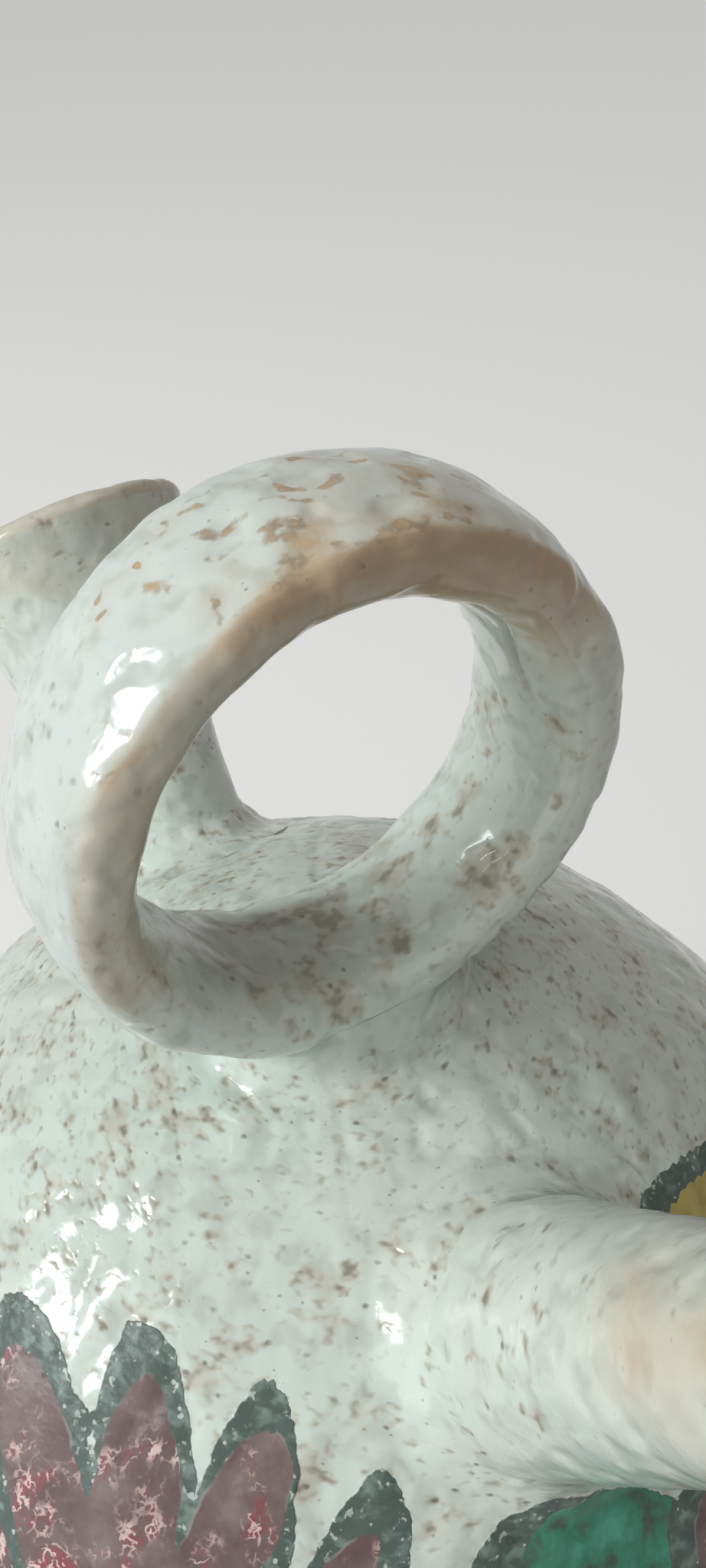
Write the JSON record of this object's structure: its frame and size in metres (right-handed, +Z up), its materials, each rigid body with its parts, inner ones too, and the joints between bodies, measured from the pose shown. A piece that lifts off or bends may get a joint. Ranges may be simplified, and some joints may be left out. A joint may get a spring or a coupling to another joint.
{
  "type": "drinking jug",
  "caption": "Round-bellied glazed earthenware drinking jug with a strap ring handle on top, a flared filling neck behind it and a tapered drinking spout in front.",
  "frame": {"origin": "centre of the flat base, on the surface the jug stands on", "axes": "+Z up through the top of the dome and the ring handle; -Y towards the drinking spout, +Y towards the filling neck; the ring lies in the XZ plane"},
  "size_m": [0.214, 0.2407, 0.292],
  "materials": {
    "speckled_glaze": "glossy white glaze with brown specks and painted flowers",
    "handle_glaze": "glossy white glaze breaking to tan clay at the edges"
  },
  "bodies": {
    "root": {"body_bowl": "speckled_glaze", "body_dome": "speckled_glaze", "handle_ring": "handle_glaze", "handle_saddle": "speckled_glaze", "filling_neck": "speckled_glaze", "filling_neck_coil": "speckled_glaze", "drinking_spout": "speckled_glaze", "drinking_spout_coil": "speckled_glaze"}
  },
  "joints": []
}
